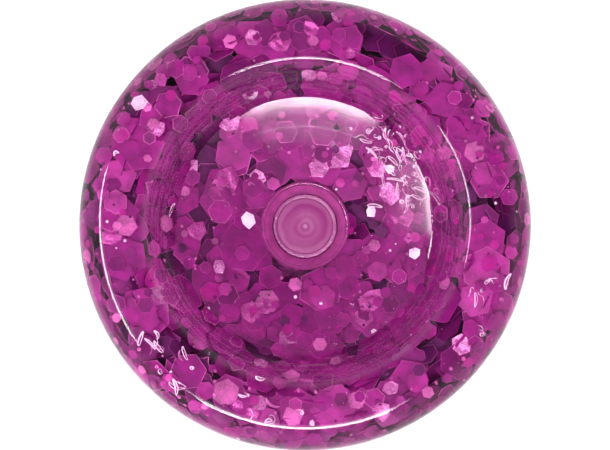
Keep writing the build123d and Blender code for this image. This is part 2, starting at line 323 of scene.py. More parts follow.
def boss_glue():
    """The pink glue that holds the boss: it ends round the boss's shoulder, and past it the wall is clear."""
    shade = Shade("boss_glue", roughness=0.6)
    shade.colour(shade.noise(400, 3), (0.3, (152, 40, 124)), (0.7, (176, 62, 142)))
    edge = shade.total((shade.radius(), 1), (shade.noise(900, 1), 0.3 * MM))
    shade.give_way(shade.rescaled(edge, *GLUE_ENDS), shade.see_through(GEL_TINT))
    return shade


def gel_contact():
    """Where clear plastic meets clear gel of the same index, light goes straight on."""
    shade = Shade("gel_contact")
    shade.end_in(shade.see_through(GEL_TINT))
    shade.tree.nodes.remove(shade.shader)
    return shade


FLAKE_TONES = [
    # name, colour, metallic, roughness, specular level
    # flake_shadow is partly a dark foil near the surface and partly painted shade: it darkens the deepest
    # layer's flakes and those in clearings
    ("flake_shadow", (88, 16, 82), 0.1, 0.5, 0.2),
    ("flake_deep", (104, 12, 89), 0.1, 0.45, 0.2),
    ("flake_plum", (126, 18, 106), 0.1, 0.45, 0.2),
    ("flake_magenta", (135, 24, 112), 0.1, 0.45, 0.2),
    ("flake_rose", (149, 44, 124), 0.15, 0.4, 0.25),
    ("flake_hot", (150, 0, 118), 0.1, 0.35, 0.3),
    ("flake_pink", (172, 88, 146), 0.2, 0.4, 0.3),
    ("flake_silver", (228, 202, 222), 0.4, 0.35, 0.5),
]
SHADOW, DEEP, ROSE, PINK = 0, 1, 4, 6
SILVER = len(FLAKE_TONES) - 1


def flake_material(name, colour, metallic, roughness, specular):
    """A flake of foil: faintly cloudy, and the paler the foil, the more of a fine pressed grain it shows."""
    shade = Shade(name, roughness, metallic, specular)
    grain = min(0.4, colour[1] / 255)
    both = shade.total((shade.noise(330, 3), 1 - grain), (shade.noise(3600, 1), grain))
    dark, pale = ([min(255, share * c) for c in colour] for share in (0.93 - 0.4 * grain, 1.09 + 0.3 * grain))
    shade.colour(both, (0.36, dark), (0.64, pale))
    shade.bump(shade.noise(700, 2), 0.1 * MM, 0.6)
    return shade


def speckled_film(name, low, high, shift, alpha=1.0):
    """Pale crumpled film with a fine glittering grain; shift tells the grain of one film from another's."""
    shade = Shade(name, roughness=0.3, metallic=0.3)
    shade.feed("Alpha", alpha)
    place = shade.add("Mapping", **{"Location": (shift, 0, 0), "Vector": shade.place()}).outputs[0]
    cloud = shade.noise(420, 3, at=place)
    both = shade.total((shade.noise(4200, 1, at=place), 0.65), (cloud, 0.6))
    between = [(a + b) / 2 for a, b in zip(low, high)]
    shade.colour(both, (0.45, low), (0.62, between), (0.78, high))
    shade.bump(cloud, 0.5 * MM)
    return shade


def plum_backing():
    """The plastic behind the glitter: deep plum, with magenta dust settled on it in clouds."""
    shade = Shade("plum_backing", roughness=0.45, specular=0.3)
    dust = shade.noise(1800, 2)
    both = shade.total((shade.noise(150, 3), 0.8), (dust, 0.25))
    shade.colour(both, (0.42, (62, 13, 60)), (0.52, (92, 16, 84)), (0.64, (140, 26, 116)))
    shade.bump(dust, 0.1 * MM)
    return shade


def milky_plug():
    """Milky pink plastic with the swirl that its gate left, and a paler ring by its rim that is a painted
    highlight.
    """
    shade = Shade("plug_pink", roughness=0.5, specular=0.25)
    shade.feed("Subsurface Weight", 0.15)
    shade.feed("Subsurface Radius", (1.0, 0.4, 0.8))
    shade.feed("Subsurface Scale", 1.5 * MM)
    uneven = shade.total((shade.radius(), 1), (shade.noise(260, 2), 1.6 * MM))
    # the paler stop at 0.90, by the rim, is a painted highlight along the plug's edge next to the shaded gap
    shade.colour(
        shade.math("DIVIDE", uneven, 1.15 * BUTTON_RADIUS),
        (0.14, (204, 132, 182)), (0.22, (162, 62, 133)), (0.32, (178, 90, 147)), (0.42, (161, 58, 131)),
        (0.52, (170, 74, 139)), (0.66, (161, 60, 131)), (0.80, (155, 48, 126)), (0.90, (178, 86, 148)),
    )
    shade.bump(shade.noise(900, 3), 0.06 * MM)
    return shade


def knob_rubber():
    """Moulded rubber: a fine pebble grain, a slight cloudiness and dull rubbed places."""
    shade = Shade("knob_rubber", roughness=0.6, specular=0.35)
    cloud = shade.noise(60, 4)
    shade.colour(cloud, (0.3, (96, 16, 82)), (0.7, (122, 22, 102)))
    shade.rough(shade.noise(90, 3), 0.45, 0.75)
    shade.bump(shade.noise(2600, 2), 0.12 * MM)
    shade.bump(cloud, 0.3 * MM)
    return shade


def tape(band):
    """Glossy vinyl tape for a band: stretch wrinkles round it, and edges that are darker in a ragged line."""
    shade = Shade(f"tape_{band}", roughness=0.3)
    low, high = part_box(band)
    height = shade.split()["Z"]
    edge = shade.math("ABSOLUTE", shade.math("SUBTRACT", shade.rescaled(height, low.z, high.z), 0.5))
    edge_darkening = shade.total((edge, 1), (shade.noise(500, 3), 0.14))
    shade.colour(edge_darkening, (0.0, (156, 22, 126)), (0.5, (156, 22, 126)), (0.57, (98, 20, 84)))
    wrinkle = shade.noise(140, 4, at=shade.stretched(6))
    shade.bump(wrinkle, 0.25 * MM)
    shade.rough(wrinkle, 0.18, 0.42)
    return shade


def woven_wrap(start, pitch):
    """Cloth-backed grip tape wound from a height at a pitch: a woven grain, hand wear, a dust line along each
    turn's lower edge, and painted shade just below the edge of the turn above.
    """
    shade = Shade("grip_cloth", roughness=0.7, specular=0.3)
    height, turn = shade.split()["Z"], shade.turn()
    warp = shade.math("SINE", shade.product(turn, 110))
    weft = shade.math("SINE", shade.product(height, 9000))
    wear = shade.noise(45, 4)
    rise = shade.math("DIVIDE", shade.math("SUBTRACT", height, start), pitch)
    across = shade.math("FRACT", shade.math("SUBTRACT", rise, shade.math("DIVIDE", turn, tau)))
    # near 0: a dust line along the turn's own lower edge; near 1: painted shade just below the turn above
    clean_and_unshaded = shade.levels(across, (0.0, 0.2), (0.05, 0.85), (0.5, 1.0), (0.9, 0.75), (0.995, 0.0))
    both = shade.total((wear, 0.5), (clean_and_unshaded, 0.5))
    shade.colour(both, (0.30, (104, 66, 104)), (0.60, (160, 124, 160)), (0.85, (186, 152, 186)))
    shade.bump(shade.product(warp, weft), 0.08 * MM)
    shade.bump(shade.noise(900, 3), 0.1 * MM)
    shade.rough(wear, 0.8, 0.55)
    return shade


def foam():
    shade = Shade("foam", roughness=0.95, specular=0.1)
    cells = shade.add("TexVoronoi", Scale=1400.0, Vector=shade.place()).outputs["Distance"]
    shade.colour(cells, (0.1, (34, 32, 36)), (0.6, (78, 74, 80)))
    shade.bump(cells, 0.3 * MM)
    return shade


def beech():
    """Beech: rings stretched along the dowel, with short dark flecks."""
    shade = Shade("beech", roughness=0.55, specular=0.3)
    grain = shade.noise(900, 4, at=shade.stretched(0.05), distortion=0.4)
    both = shade.total((grain, 0.75), (shade.noise(3000, 1, at=shade.stretched(0.2)), 0.3))
    shade.colour(both, (0.38, (148, 100, 58)), (0.52, (190, 144, 96)), (0.7, (214, 174, 126)))
    shade.bump(grain, 0.08 * MM)
    return shade


def zinc_steel():
    """Zinc-plated steel with turning marks and a faint warm bloom."""
    shade = Shade("zinc_steel", roughness=0.3, metallic=1.0)
    shade.colour(shade.noise(400, 3), (0.3, (176, 172, 164)), (0.7, (214, 214, 216)))
    marks = shade.noise(300, 3, at=shade.stretched(30))
    shade.rough(marks, 0.2, 0.42)
    shade.bump(marks, 0.04 * MM)
    return shade


def moulded(name, colour, shadow, roughness):
    """Plain moulded plastic or rubber trim: faint clouding and a fine moulded grain."""
    shade = Shade(name, roughness=roughness)
    shade.colour(shade.noise(200, 3), (0.3, shadow), (0.7, colour))
    shade.bump(shade.noise(2400, 2), 0.05 * MM)
    return shade


for finish, *dressed in (
    (plum_backing(), "body_liner", "crown_hub"),
    (milky_plug(), "crown_button"),
    (moulded("seal_rubber", (188, 84, 160), (160, 60, 134), 0.5), "crown_seal", "neck_seal"),
    (moulded("bush_white", (226, 222, 224), (206, 200, 206), 0.45), "neck_bush"),
    (beech(), "dowel"),
    (foam(), "handle_foam"),
    (knob_rubber(), "knob"),
    (zinc_steel(), "crown_washer", "crown_screw", "knob_washer", "knob_screw"),
    (tape("grip_band_lower"), "grip_band_lower"),
    (tape("grip_band_upper"), "grip_band_upper"),
):
    for node in dressed:
        nodes[node].data.materials.clear()
        nodes[node].data.materials.append(finish.material)


# ---- round pieces, lathed from the outlines of their CAD nodes ----
ON_AXIS = 1e-6           # a point with a smaller radius is on the axis
SUPPORT = 0.12 * MM      # how far a long span's extra points are from its ends
SMOOTH = radians(28)     # a turn in an outline up to this angle is shaded smooth
FINEST_TURN = radians(4)
SEGMENTS = 192


def tree_of(*names):
    points, faces = [], []
    for node in names:
        data = nodes[node].data
        base = len(points)
        points += [v.co.copy() for v in data.vertices]
        faces += [[base + i for i in p.vertices] for p in data.polygons]
    return BVHTree.FromPolygons(points, faces)


def outline_of(node):
    """The closed (radius, height) outline of a round node, read where its mesh crosses y = 0."""
    data = nodes[node].data
    places = [
        (round(v.co.x, 7), round(v.co.z, 7)) if abs(v.co.y) < 1e-7 and v.co.x > -1e-7 else None
        for v in data.vertices
    ]
    beside = {}
    for edge in data.edges:
        a, b = (places[i] for i in edge.vertices)
        if a and b and a != b:
            beside.setdefault(a, set()).add(b)
            beside.setdefault(b, set()).add(a)
    ends = {place for place, near in beside.items() if len(near) == 1 and place[0] > ON_AXIS}
    while ends:
        end = ends.pop()
        level = (other for other in ends if abs(other[1] - end[1]) < 2e-7)
        other = min(level, key=lambda place: abs(place[0] - end[0]))
        ends.remove(other)
        beside[end].add(other)
        beside[other].add(end)
    here = min(beside, key=lambda place: (place[0] > ON_AXIS, -place[1]))
    loop, last = [here], None
    while True:
        onward = [place for place in beside[here] if place != last and place not in loop]
        if not onward:
            return np.array(loop)
        last, here = here, onward[0]
        loop.append(here)


def turn_between(before, after):
    angle = atan2(after[1], after[0]) - atan2(before[1], before[0])
    return (angle + pi) % tau - pi


def arc_points(start, middle, end, step):
    """Points from start up to end, which is left out, on the arc through middle."""
    a, b, c = (complex(*p) for p in (start, middle, end))
    w = (c - a) / (b - a)
    centre = (b - a) * (w - abs(w) ** 2) / (2j * w.imag) + a
    sweep = np.angle((c - centre) / (a - centre))
    if np.angle((b - centre) / (a - centre)) * sweep < 0:
        sweep -= copysign(tau, sweep)
    spans = max(ceil(abs(sweep) * abs(a - centre) / step), ceil(abs(sweep) / FINEST_TURN), 2)
    turned = [centre + (a - centre) * np.exp(1j * sweep * k / spans) for k in range(spans)]
    return [(p.real, p.imag) for p in turned]


def refined(outline, step):
    """The outline with its arcs, which a mesh holds as equal chords, drawn again in finer spans."""
    count = len(outline)
    edges = np.roll(outline, -1, 0) - outline
    lengths = [float(np.hypot(*edge)) for edge in edges]
    turns = [turn_between(edges[i - 1], edges[i]) for i in range(count)]

    def goes_on(i):
        same = abs(lengths[i] - lengths[i - 1]) < 0.03 * lengths[i] + 1e-6
        return same and radians(0.05) < abs(turns[i]) < radians(24)

    first = next(i for i in range(count) if not goes_on(i))
    result = []
    i = 0
    while i < count:
        here = (first + i) % count
        run = 1
        while i + run < count and goes_on((here + run) % count):
            run += 1
        stops = [outline[(here + k) % count] for k in (0, (run + 1) // 2, run)]
        if run > 1:
            result += arc_points(*stops, step)
        else:
            result.append(tuple(outline[here]))
        i += run
    return supported(np.array(result))


def supported(outline):
    """The outline with a point just inside each end of a long span, which keeps its shading flat."""
    result = []
    count = len(outline)
    for i in range(count):
        here, after = outline[i], outline[(i + 1) % count]
        result.append(here)
        run = after - here
        length = float(np.hypot(*run))
        if length < 8 * SUPPORT:
            continue
        before_turn = abs(turn_between(here - outline[i - 1], run))
        after_turn = abs(turn_between(run, outline[(i + 2) % count] - after))
        if 1e-3 < before_turn < SMOOTH:
            result.append(here + run * SUPPORT / length)
        if 1e-3 < after_turn < SMOOTH:
            result.append(after - run * SUPPORT / length)
    return np.array(result)


def lathe(name, outline, finishes, slot_of):
    """Revolves a closed (radius, height) outline about the club's axis into one closed mesh."""
    rings = []
    points = []
    for radius, height in outline:
        if radius < ON_AXIS:
            rings.append([len(points)] * SEGMENTS)
            points.append((0, 0, height))
        else:
            rings.append(list(range(len(points), len(points) + SEGMENTS)))
            points += [(*polar(radius, tau * k / SEGMENTS), height) for k in range(SEGMENTS)]
    faces, slots = [], []
    for i in range(len(outline)):
        j = (i + 1) % len(outline)
        if outline[i][0] < ON_AXIS and outline[j][0] < ON_AXIS:
            continue
        slot = slot_of((outline[i] + outline[j]) / 2)
        for k in range(SEGMENTS):
            n = (k + 1) % SEGMENTS
            face = [rings[i][k], rings[j][k], rings[j][n], rings[i][n]]
            faces.append([v for m, v in enumerate(face) if v != face[m - 1]])
            slots.append(slot)
    return mesh_object(name, points, faces, slots, finishes, SMOOTH)


def mesh_object(name, points, faces, slots, finishes, smooth=None):
    """A mesh object, flat-shaded or, given an angle, smooth where faces meet at less than that."""
    data = bpy.data.meshes.new(name)
    data.from_pydata(points, [], faces)
    for finish in finishes:
        data.materials.append(finish.material)
    data.polygons.foreach_set("material_index", slots)
    if smooth:
        data.polygons.foreach_set("use_smooth", [True] * len(faces))
        data.set_sharp_from_angle(angle=smooth)
        shape = bmesh.new()
        shape.from_mesh(data)
        bmesh.ops.recalc_face_normals(shape, faces=shape.faces)
        shape.to_mesh(data)
        shape.free()
    data.update()
    return link(name, data)


def wet_faces(*neighbours, glued_radius=0.0, bore_radius=0.0):
    """A rule for face slots: 1 where a neighbour touches, 2 if glued or in the bore, else 0."""
    walls = tree_of(*neighbours)
    touching = 0.06 * MM

    def slot_of(place):
        distance = walls.find_nearest(Vector((place[0], 0, place[1])))[3]
        if distance > touching and place[0] > bore_radius:
            return 0
        return 2 if place[0] < glued_radius else 1

    return slot_of


def stand_in(piece, node):
    """Puts a piece on the club, in a CAD node's place if one is given."""
    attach(piece, "club")
    if node:
        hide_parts(node)


PLASTIC_TINT = (254, 240, 252)
contact = gel_contact()
cap = lathe(
    "cap_clear",
    refined(outline_of("crown_cap"), 0.6 * MM),
    [clear_plastic("clear_crown", PLASTIC_TINT, flow=True), contact, boss_glue()],
    wet_faces(
        "crown_glitter", "crown_hub", "body_shell", "crown_seal", "dowel",
        glued_radius=9.25 * MM, bore_radius=BUTTON_RADIUS + 0.2 * MM,
    ),
)
stand_in(cap, "crown_cap")
shell = lathe(
    "shell_clear",
    refined(outline_of("body_shell"), 4 * MM),
    [clear_plastic("clear_plastic", PLASTIC_TINT), contact],
    wet_faces("body_glitter", "neck_seal", "crown_cap", "crown_seal", "body_liner"),
)
stand_in(shell, "body_shell")


# ---- glitter ----
HEXAGON = [polar(1, tau * k / 6) for k in range(6)]
THICK = 0.05 * MM
PALE_EDGE_WIDTH = 0.14 * MM     # the width of the pale edge round a flake
GEL = tree_of("crown_glitter")
GEL_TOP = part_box("crown_glitter")[1]
GEL_DEPTH = 5 * MM       # that the depths of the crown's layers are shares of
FACES_UP = 0.5           # the z of a wall's normal from which it is part of the crown's face
WALL_GAP = 0.12 * MM     # how far the crown's flakes keep from the gel's walls
CROWN_TRIES, BODY_TRIES = 40, 3     # how many places are tried for each flake wanted


class Pieces:
    """Gathers closed pieces and makes one mesh of them."""

    def __init__(self):
        self.points, self.faces, self.slots = [], [], []

    def add_flake(self, upper, lower, slot, edge=None):
        """A flake from six rim points and a middle on each side, its pale edge of another slot if given."""
        base = inner = len(self.points)
        self.points += [*upper, *lower]
        if edge is not None:
            inner = base + 14
            share = PALE_EDGE_WIDTH / (upper[0] - upper[6]).length
            self.points += [rim.lerp(upper[6], share) for rim in upper[:6]]
        for k in range(6):
            n = (k + 1) % 6
            if edge is not None:
                self.faces.append((base + k, base + n, inner + n, inner + k))
                self.slots.append(edge)
            self.faces += [
                (inner + k, inner + n, base + 6),
                (base + 7 + n, base + 7 + k, base + 13),
                (base + 7 + k, base + 7 + n, base + n, base + k),
            ]
            self.slots += [slot, slot, slot if edge is None else edge]

    def add_rings(self, rings, slot, closed=False):
        """Skins rings of points, each as long as the next; unless closed, the end rings are filled."""
        base, size = len(self.points), len(rings[0])
        for ring in rings:
            self.points.extend(ring)
        count = len(rings)
        for i in range(count if closed else count - 1):
            a, b = base + i * size, base + (i + 1) % count * size
            self.faces += [(a + k, a + (k + 1) % size, b + (k + 1) % size, b + k) for k in range(size)]
        if not closed:
            self.faces.append(tuple(base + k for k in reversed(range(size))))
            self.faces.append(tuple(base + (count - 1) * size + k for k in range(size)))
        self.slots += [slot] * (len(self.faces) - len(self.slots))

    def build(self, name, materials, node="crown_glitter", slot="glitter", smooth=radians(50)):
        piece = mesh_object(name, self.points, self.faces, self.slots, materials, smooth)
        stand_in(piece, node)


class Spacing:
    """Keeps the flakes of one layer from piling up on each other."""

    CELL = 6 * MM

    def __init__(self, closeness):
        self.closeness = closeness
        self.cells = {}

    def cell_of(self, place):
        return tuple(int(v // self.CELL) for v in place)

    def fits(self, place, size):
        cells = product(*[(i - 1, i, i + 1) for i in self.cell_of(place)])
        near = (kept for cell in cells for kept in self.cells.get(cell, []))
        return all(dist(place, other) > self.closeness * (size + reach) for other, reach in near)

    def keep(self, place, size):
        self.cells.setdefault(self.cell_of(place), []).append((place, size))


# One row per layer, from the surface inwards, and the fine dust last: flakes in the crown, flakes on the
# body, smallest and largest corner radius in mm, least and greatest depth as a share of the gel layer,
# closeness, and the weight of each tone (shadow, deep, plum, magenta, rose, hot, pink, silver).
LAYERS = [
    (300, 2100, 0.7, 1.5, 0.05, 0.09, 0.72, (7, 16, 20, 18, 12, 16, 11, 0)),
    (270, 1000, 1.5, 2.7, 0.10, 0.17, 0.62, (0, 9, 32, 34, 15, 5, 5, 0)),
    (190, 1000, 3.3, 5.2, 0.19, 0.28, 0.64, (0, 5, 44, 42, 8, 1, 0, 0)),
    (190, 900, 3.0, 4.8, 0.30, 0.42, 0.56, (1, 14, 46, 33, 6, 0, 0, 0)),
    (430, 800, 1.8, 4.0, 0.52, 0.80, 0.35, (30, 36, 24, 10, 0, 0, 0, 0)),
    (600, 1800, 0.14, 0.42, 0.05, 0.12, 0.9, (18, 8, 6, 10, 14, 12, 28, 4)),
]

# Places in the crown where the glitter has parted and the dark plastic behind it shows, its deep flakes in
# painted
# shade: azimuth, radius as a share of the crown's, and half of how far each reaches.
CLEARINGS = [
    (64, 0.86, 10, 0.06), (0, 0.87, 7, 0.035), (-40, 0.80, 13, 0.045), (224, 0.78, 9, 0.035),
    (168, 0.75, 7, 0.03), (178, 0.46, 15, 0.045), (14, 0.25, 24, 0.04), (118, 0.80, 8, 0.03),
    (292, 0.55, 9, 0.035), (94, 0.66, 9, 0.04), (146, 0.50, 7, 0.03), (132, 0.36, 12, 0.03),
    (320, 0.42, 8, 0.03), (250, 0.62, 10, 0.03), (196, 0.60, 7, 0.03), (134, 0.60, 7, 0.035),
    (271, 0.36, 9, 0.03), (54, 0.36, 8, 0.03), (224, 0.31, 11, 0.03), (208, 0.55, 7, 0.03),
    (20, 0.75, 5, 0.02), (196, 0.90, 4, 0.02), (240, 0.72, 5, 0.02), (-20, 0.73, 4, 0.02),
    (300, 0.75, 5, 0.02),
]


def tone_of(weights, draw):
    return int(draw.choice(len(FLAKE_TONES), p=np.array(weights) / sum(weights)))


def in_a_clearing(x, y, margin):
    """Whether a place is within margin of a clearing, as seen from above. Noise makes the edges ragged."""
    ragged = 0.9 * noise.noise(Vector((x, y, 0)) / (4 * MM))
    radius = hypot(x, y)
    azimuth = degrees(atan2(y, x)) - VIEW_TURN
    for middle, at, spread, reach in CLEARINGS:
        aside = ((azimuth - middle + 180) % 360 - 180) / (spread + degrees(margin / radius))
        inwards = (radius / RIM - at) / (reach + margin / RIM)
        if aside ** 2 + inwards ** 2 + ragged < 1:
            return True
    return False


def hexagon_at(middle, up, turn, size):
    side = up.orthogonal().normalized()
    across = up.cross(side)
    e1 = side * cos(turn) + across * sin(turn)
    e2 = up.cross(e1)
    return [middle + size * (x * e1 + y * e2) for x, y in HEXAGON]


def both_sides(face, up):
    """The upper and lower side of a flat flake."""
    return [p + up * THICK / 2 for p in face], [p - up * THICK / 2 for p in face]


# Draws below the first number put a flake behind the crown's side; the next ones, in the shoulder.
SIDE_DRAWS, SHOULDER_DRAWS = 0.22, 0.42
SHOULDER = 4 * MM        # how far inside the gel's corner the middle of its shoulder is


def under_a_wall(draw):
    """A point of the gel's outside, at its side, in its shoulder or on top, and the wall's normal there."""
    out = Vector((*polar(1, draw.uniform(0, tau)), 0))
    kind = draw.uniform()
    if kind < SIDE_DRAWS:
        height = draw.uniform(GEL_TOP.z - 15 * MM, GEL_TOP.z - 3 * MM)
        start, way = 2 * GEL_TOP.x * out + Vector((0, 0, height)), -out
    elif kind < SHOULDER_DRAWS:
        rise = radians(draw.uniform(5, 80))
        start = (GEL_TOP.x - SHOULDER) * out + Vector((0, 0, GEL_TOP.z - SHOULDER))
        way = cos(rise) * out + Vector((0, 0, sin(rise)))
    else:
        start = sqrt(draw.uniform(0.035, 1)) * GEL_TOP.x * out + Vector((0, 0, GEL_TOP.z + MM))
        way = DOWN
    return GEL.ray_cast(start, way)[:2]


def under_the_cap(x, y, depth):
    """The point at x, y that lies depth below the cap's underside, and the wall's normal there."""
    hit, normal, _, _ = GEL.ray_cast(Vector((x, y, CROWN_TOP)), DOWN)
    return (hit - normal * depth, normal) if hit else (None, None)


def lies_inside(points, margin):
    """Whether points are inside the crown's gel, at least margin from its walls."""
    for point in points:
        near, wall, _, distance = GEL.find_nearest(point)
        if (point - near).dot(wall) > 0 or distance < margin:
            return False
    return True


# The brightest flakes, pale silver foil put where the crown glints, partly painted glints: azimuth, radius as
# a share of the crown's, corner radius in mm.
GLINTS = [
    (144, 0.895, 2.1), (174, 0.255, 1.9), (13, 0.30, 1.5), (-14, 0.50, 1.6),
    (112, 0.62, 1.3), (34, 0.45, 1.2), (-88, 0.87, 0.7), (-57, 0.56, 0.8),
]
EDGED_SIZE = 1.2 * MM                       # flakes of this size or more can show a pale edge
EDGED_SHARE, PINK_EDGED_SHARE = 0.7, 0.2    # how many of them do, and how many do in pink
CLEARING_MARGIN = 0.45                      # how far a flake keeps off a clearing, as a share of its size


def crown_flakes(share):
    """Flakes in layers under the crown cap, each lying nearly flat under the wall above it."""
    draw, edge_draw = default_rng(20), default_rng(21)
    flakes = Pieces()
    # painted glints: pale silver flakes where the crown glints
    for azimuth, at, corner in GLINTS:
        angle = radians(azimuth + VIEW_TURN)
        middle, up = under_the_cap(*polar(at * RIM, angle), 0.3 * MM)
        rim = hexagon_at(middle, up, angle, corner * MM)
        uneven = [middle + (p - middle) * draw.uniform(0.6, 1.0) for p in rim]
        flakes.add_flake(*both_sides([*uneven, middle], up), SILVER)
    for wanted, _, smallest, largest, shallow, deep, closeness, weights in LAYERS:
        spacing = Spacing(closeness)
        made = 0
        for _ in range(int(CROWN_TRIES * wanted * share)):
            if made >= wanted * share:
                break
            size = draw.uniform(smallest, largest) * MM
            turn = draw.uniform(0, tau)
            hit, normal = under_a_wall(draw)
            lean = Vector(draw.normal(0, 0.12 / (1 + size / MM), 3))
            depth = draw.uniform(shallow, deep) * GEL_DEPTH
            bulge = draw.normal(0, 0.02) * size
            tone = tone_of(weights, draw)
            if hit is None:
                continue
            if normal.z > FACES_UP and in_a_clearing(hit.x, hit.y, CLEARING_MARGIN * size):
                if depth < 0.5 * GEL_DEPTH or tone > DEEP:
                    continue
                # painted shade: a deep flake in a clearing takes the shadow tone
                tone = SHADOW
            middle = hit - normal * depth
            if not spacing.fits(middle, size):
                continue
            up = (normal + lean).normalized()
            rim = hexagon_at(middle, up, turn, size)
            if lies_inside(rim, WALL_GAP):
                kind = edge_draw.uniform()
                edge = PINK if kind < PINK_EDGED_SHARE else ROSE
                if size < EDGED_SIZE or kind > EDGED_SHARE:
                    edge = None
                flakes.add_flake(*both_sides([*rim, middle + up * bulge], up), tone, edge)
                spacing.keep(middle, size)
                made += 1
    return flakes


def gap_walls(node, heights):
    """The inner and outer radius of a round layer at each height."""
    walls = tree_of(node)
    inner, outer = [], []
    out = Vector((1, 1e-4, 0)).normalized()
    for height in heights:
        first = walls.ray_cast(Vector((0, 0, height)), out)[0]
        second = walls.ray_cast(first + out * 1e-6, out)[0]
        inner.append(first.x)
        outer.append(second.x)
    return np.array(inner), np.array(outer)


SILVER_SHARE = 0.4      # how many of the body's pink flakes are silver instead


def body_flakes(share, pieces, materials):
    """Flakes in layers between the shell and its liner, bent round with them."""
    draw, glint_draw = default_rng(31), default_rng(32)
    low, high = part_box("body_glitter")
    heights = np.linspace(low.z + 0.2 * MM, high.z - 0.2 * MM, 160)
    inner, outer = gap_walls("body_glitter", heights)
    area = np.cumsum(outer)
    area /= area[-1]
    sets = [Pieces() for _ in range(pieces)]
    edges = np.linspace(low.z, high.z, pieces + 1)
    for _, wanted, smallest, largest, shallow, deep, closeness, weights in LAYERS:
        spacing = Spacing(closeness * 0.9)
        made = 0
        for _ in range(int(BODY_TRIES * wanted * share)):
            if made >= wanted * share:
                break
            size = draw.uniform(smallest, largest) * MM
            middle = float(np.interp(draw.uniform(), area, heights))
            radius = float(np.interp(middle, heights, outer))
            size = min(size, 0.2 * radius)
            angle, turn = draw.uniform(0, tau), draw.uniform(0, tau)
            level = 1 - draw.uniform(shallow, deep)
            lean = draw.normal(0, 0.03, 2)
            tone = tone_of(weights, draw)
            place = (angle * radius, middle)
            if not low.z + size < middle < high.z - size or not spacing.fits(place, size):
                continue
            spacing.keep(place, size)
            made += 1
            if tone == PINK and glint_draw.uniform() < SILVER_SHARE:
                tone = SILVER
            points = []
            for u, v in [*[polar(size, turn + tau * k / 6) for k in range(6)], (0, 0)]:
                here = min(0.93, max(0.07, level + (lean[0] * u + lean[1] * v) / size))
                z = middle + v
                r = float(np.interp(z, heights, inner) * (1 - here) + np.interp(z, heights, outer) * here)
                points.append((r, angle + u / radius, z))
            sides = ([(*polar(r + off, a), z) for r, a, z in points] for off in (THICK / 2, -THICK / 2))
            index = min(pieces - 1, int(np.searchsorted(edges, middle)) - 1)
            sets[index].add_flake(*sides, tone)
    for number, flakes in enumerate(sets, 1):
        flakes.build(f"body_flakes_{number}", materials, "body_glitter", smooth=None)


quick_share = 1.0
foils = [flake_material(*row) for row in FLAKE_TONES]
crown_flakes(quick_share).build("crown_flakes", foils, smooth=None)
body_flakes(quick_share, 3, foils)


# ---- crumpled film, threads of painted highlight and air bubbles in the gel, and the bead round the plug ----
def crumple(draw):
    """A rule for a sheet's height: a few straight folds of random places, directions and depths."""
    folds = [
        (draw.uniform(0, tau), draw.uniform(0.7, 2.2), draw.uniform(0, 1), draw.uniform(0.03, 0.09))
        for _ in range(4)
    ]

    def height(x, y):
        total = 0.0
        for direction, pitch, start, depth in folds:
            along = (x * cos(direction) + y * sin(direction)) * pitch + start
            total += depth * abs(2 * (along % 1) - 1)
        return total

    return height


def shard_reach(draw, spokes):
    """How far a scrap of film reaches along each spoke: corners, and straight edges between them."""
    corners = draw.uniform(0.72, 1.12, spokes // 2).tolist()
    edge = cos(tau / spokes)
    reach = []
    for corner, following in zip(corners, corners[1:] + corners[:1]):
        reach += [corner, edge * (corner + following) / 2]
    return reach


# Films that stand out: azimuth, radius as a share of the crown's, size in mm, and which material.
LARGE_FILMS = [
    (69, 0.35, 4.0, 2), (5, 0.43, 2.6, 1), (-49, 0.44, 2.7, 1), (22, 0.39, 2.0, 0), (126, 0.57, 2.4, 0),
    (113, 0.63, 1.6, 0), (150, 0.40, 3.0, 1), (262, 0.50, 2.4, 2), (238, 0.45, 2.6, 1), (176, 0.86, 4.2, 1),
    (190, 0.84, 3.4, 2), (160, 0.88, 2.6, 1), (275, 0.86, 2.6, 2), (322, 0.86, 2.4, 0), (98, 0.80, 2.4, 1),
]


def crumpled_films(count, materials):
    """Irregular scraps of crumpled film, just under the cap's wall."""
    draw = default_rng(45)
    films = Pieces()
    spokes, circles = 12, 5
    places = list(LARGE_FILMS)
    for _ in range(count):
        place = (draw.uniform(0, 360), sqrt(draw.uniform(0.06, 0.9)), draw.uniform(1.1, 2.4))
        places.append((*place, int(draw.choice(len(materials), p=(0.24, 0.46, 0.30)))))
    for azimuth, share, millimetres, slot in places:
        size = millimetres * MM
        turn = draw.uniform(0, tau)
        spot = polar(share * RIM, radians(azimuth + VIEW_TURN))
        middle, up = under_the_cap(*spot, draw.uniform(0.35, 0.6) * MM)
        reach = shard_reach(draw, spokes)
        height = crumple(draw)
        if not middle or up.z < FACES_UP:
            continue
        side = up.orthogonal().normalized()
        across = up.cross(side)
        rings = []
        for sheet in (1, -1):
            for i in range(1, circles + 1)[::sheet]:
                ring = []
                for k in range(spokes):
                    x, y = polar(i / circles * reach[k], turn + tau * k / spokes)
                    rise = -height(x, y) * size * 0.8 + sheet * THICK / 2
                    ring.append(middle + side * x * size + across * y * size + up * rise)
                rings.append(ring)
        if lies_inside(rings[circles - 1] + rings[circles // 2], 0.1 * MM):
            films.add_rings(rings, slot)
    films.build("crumpled_film", materials)


def loop_line(draw):
    """A long narrow uneven loop, the shape that the highlight along a crease in a film takes from above."""
    length, width, bend = draw.uniform(0.5, 1.7), draw.uniform(0.12, 0.30), draw.uniform(-0.5, 0.5)
    waves = [(draw.uniform(0, tau), draw.uniform(0.1, 0.3) / k, k) for k in (2, 3, 5)]
    steps = 36
    line = []
    for k in range(steps):
        a = tau * k / steps
        swell = 1 + sum(height * sin(count * a + start) for start, height, count in waves)
        x = length * swell * cos(a)
        line.append((x, width * swell * sin(a) + bend * (x / length) ** 2))
    return np.array(line), True


